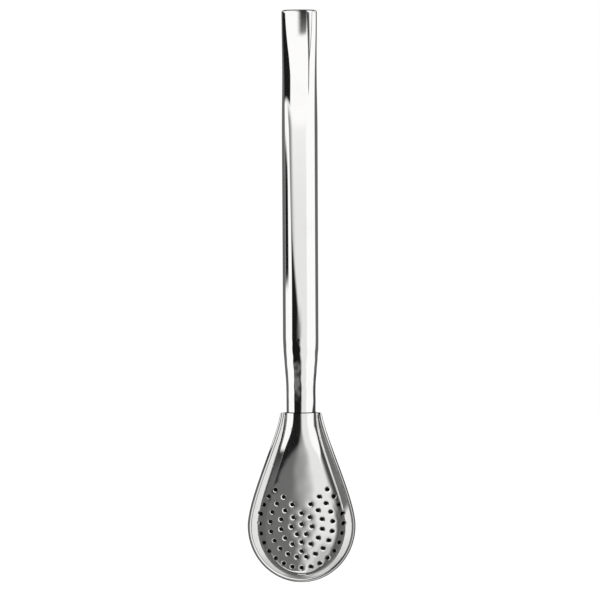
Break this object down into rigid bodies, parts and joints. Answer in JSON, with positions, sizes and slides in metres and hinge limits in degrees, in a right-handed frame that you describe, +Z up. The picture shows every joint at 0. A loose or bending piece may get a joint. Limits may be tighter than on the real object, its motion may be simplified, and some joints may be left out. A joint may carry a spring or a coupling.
{
  "type": "bombilla",
  "caption": "Steel drinking straw for mate: a round tube with a flattened mouth, swaged into a spoon-shaped strainer of two crimped shells with rings of small holes in front.",
  "frame": {"origin": "on the tube's axis, halfway up the straight round stretch that is held", "axes": "+Z up the tube to the mouth, -Y the way the perforated front faces, X across the strainer"},
  "size_m": [0.0302, 0.01, 0.1599],
  "materials": {
    "tube_steel": "mirror-polished stainless tube",
    "shell_steel": "polished pressed stainless sheet"
  },
  "bodies": {
    "root": {"straw_tube": "tube_steel", "front_strainer": "shell_steel", "back_shell": "shell_steel"}
  },
  "joints": []
}
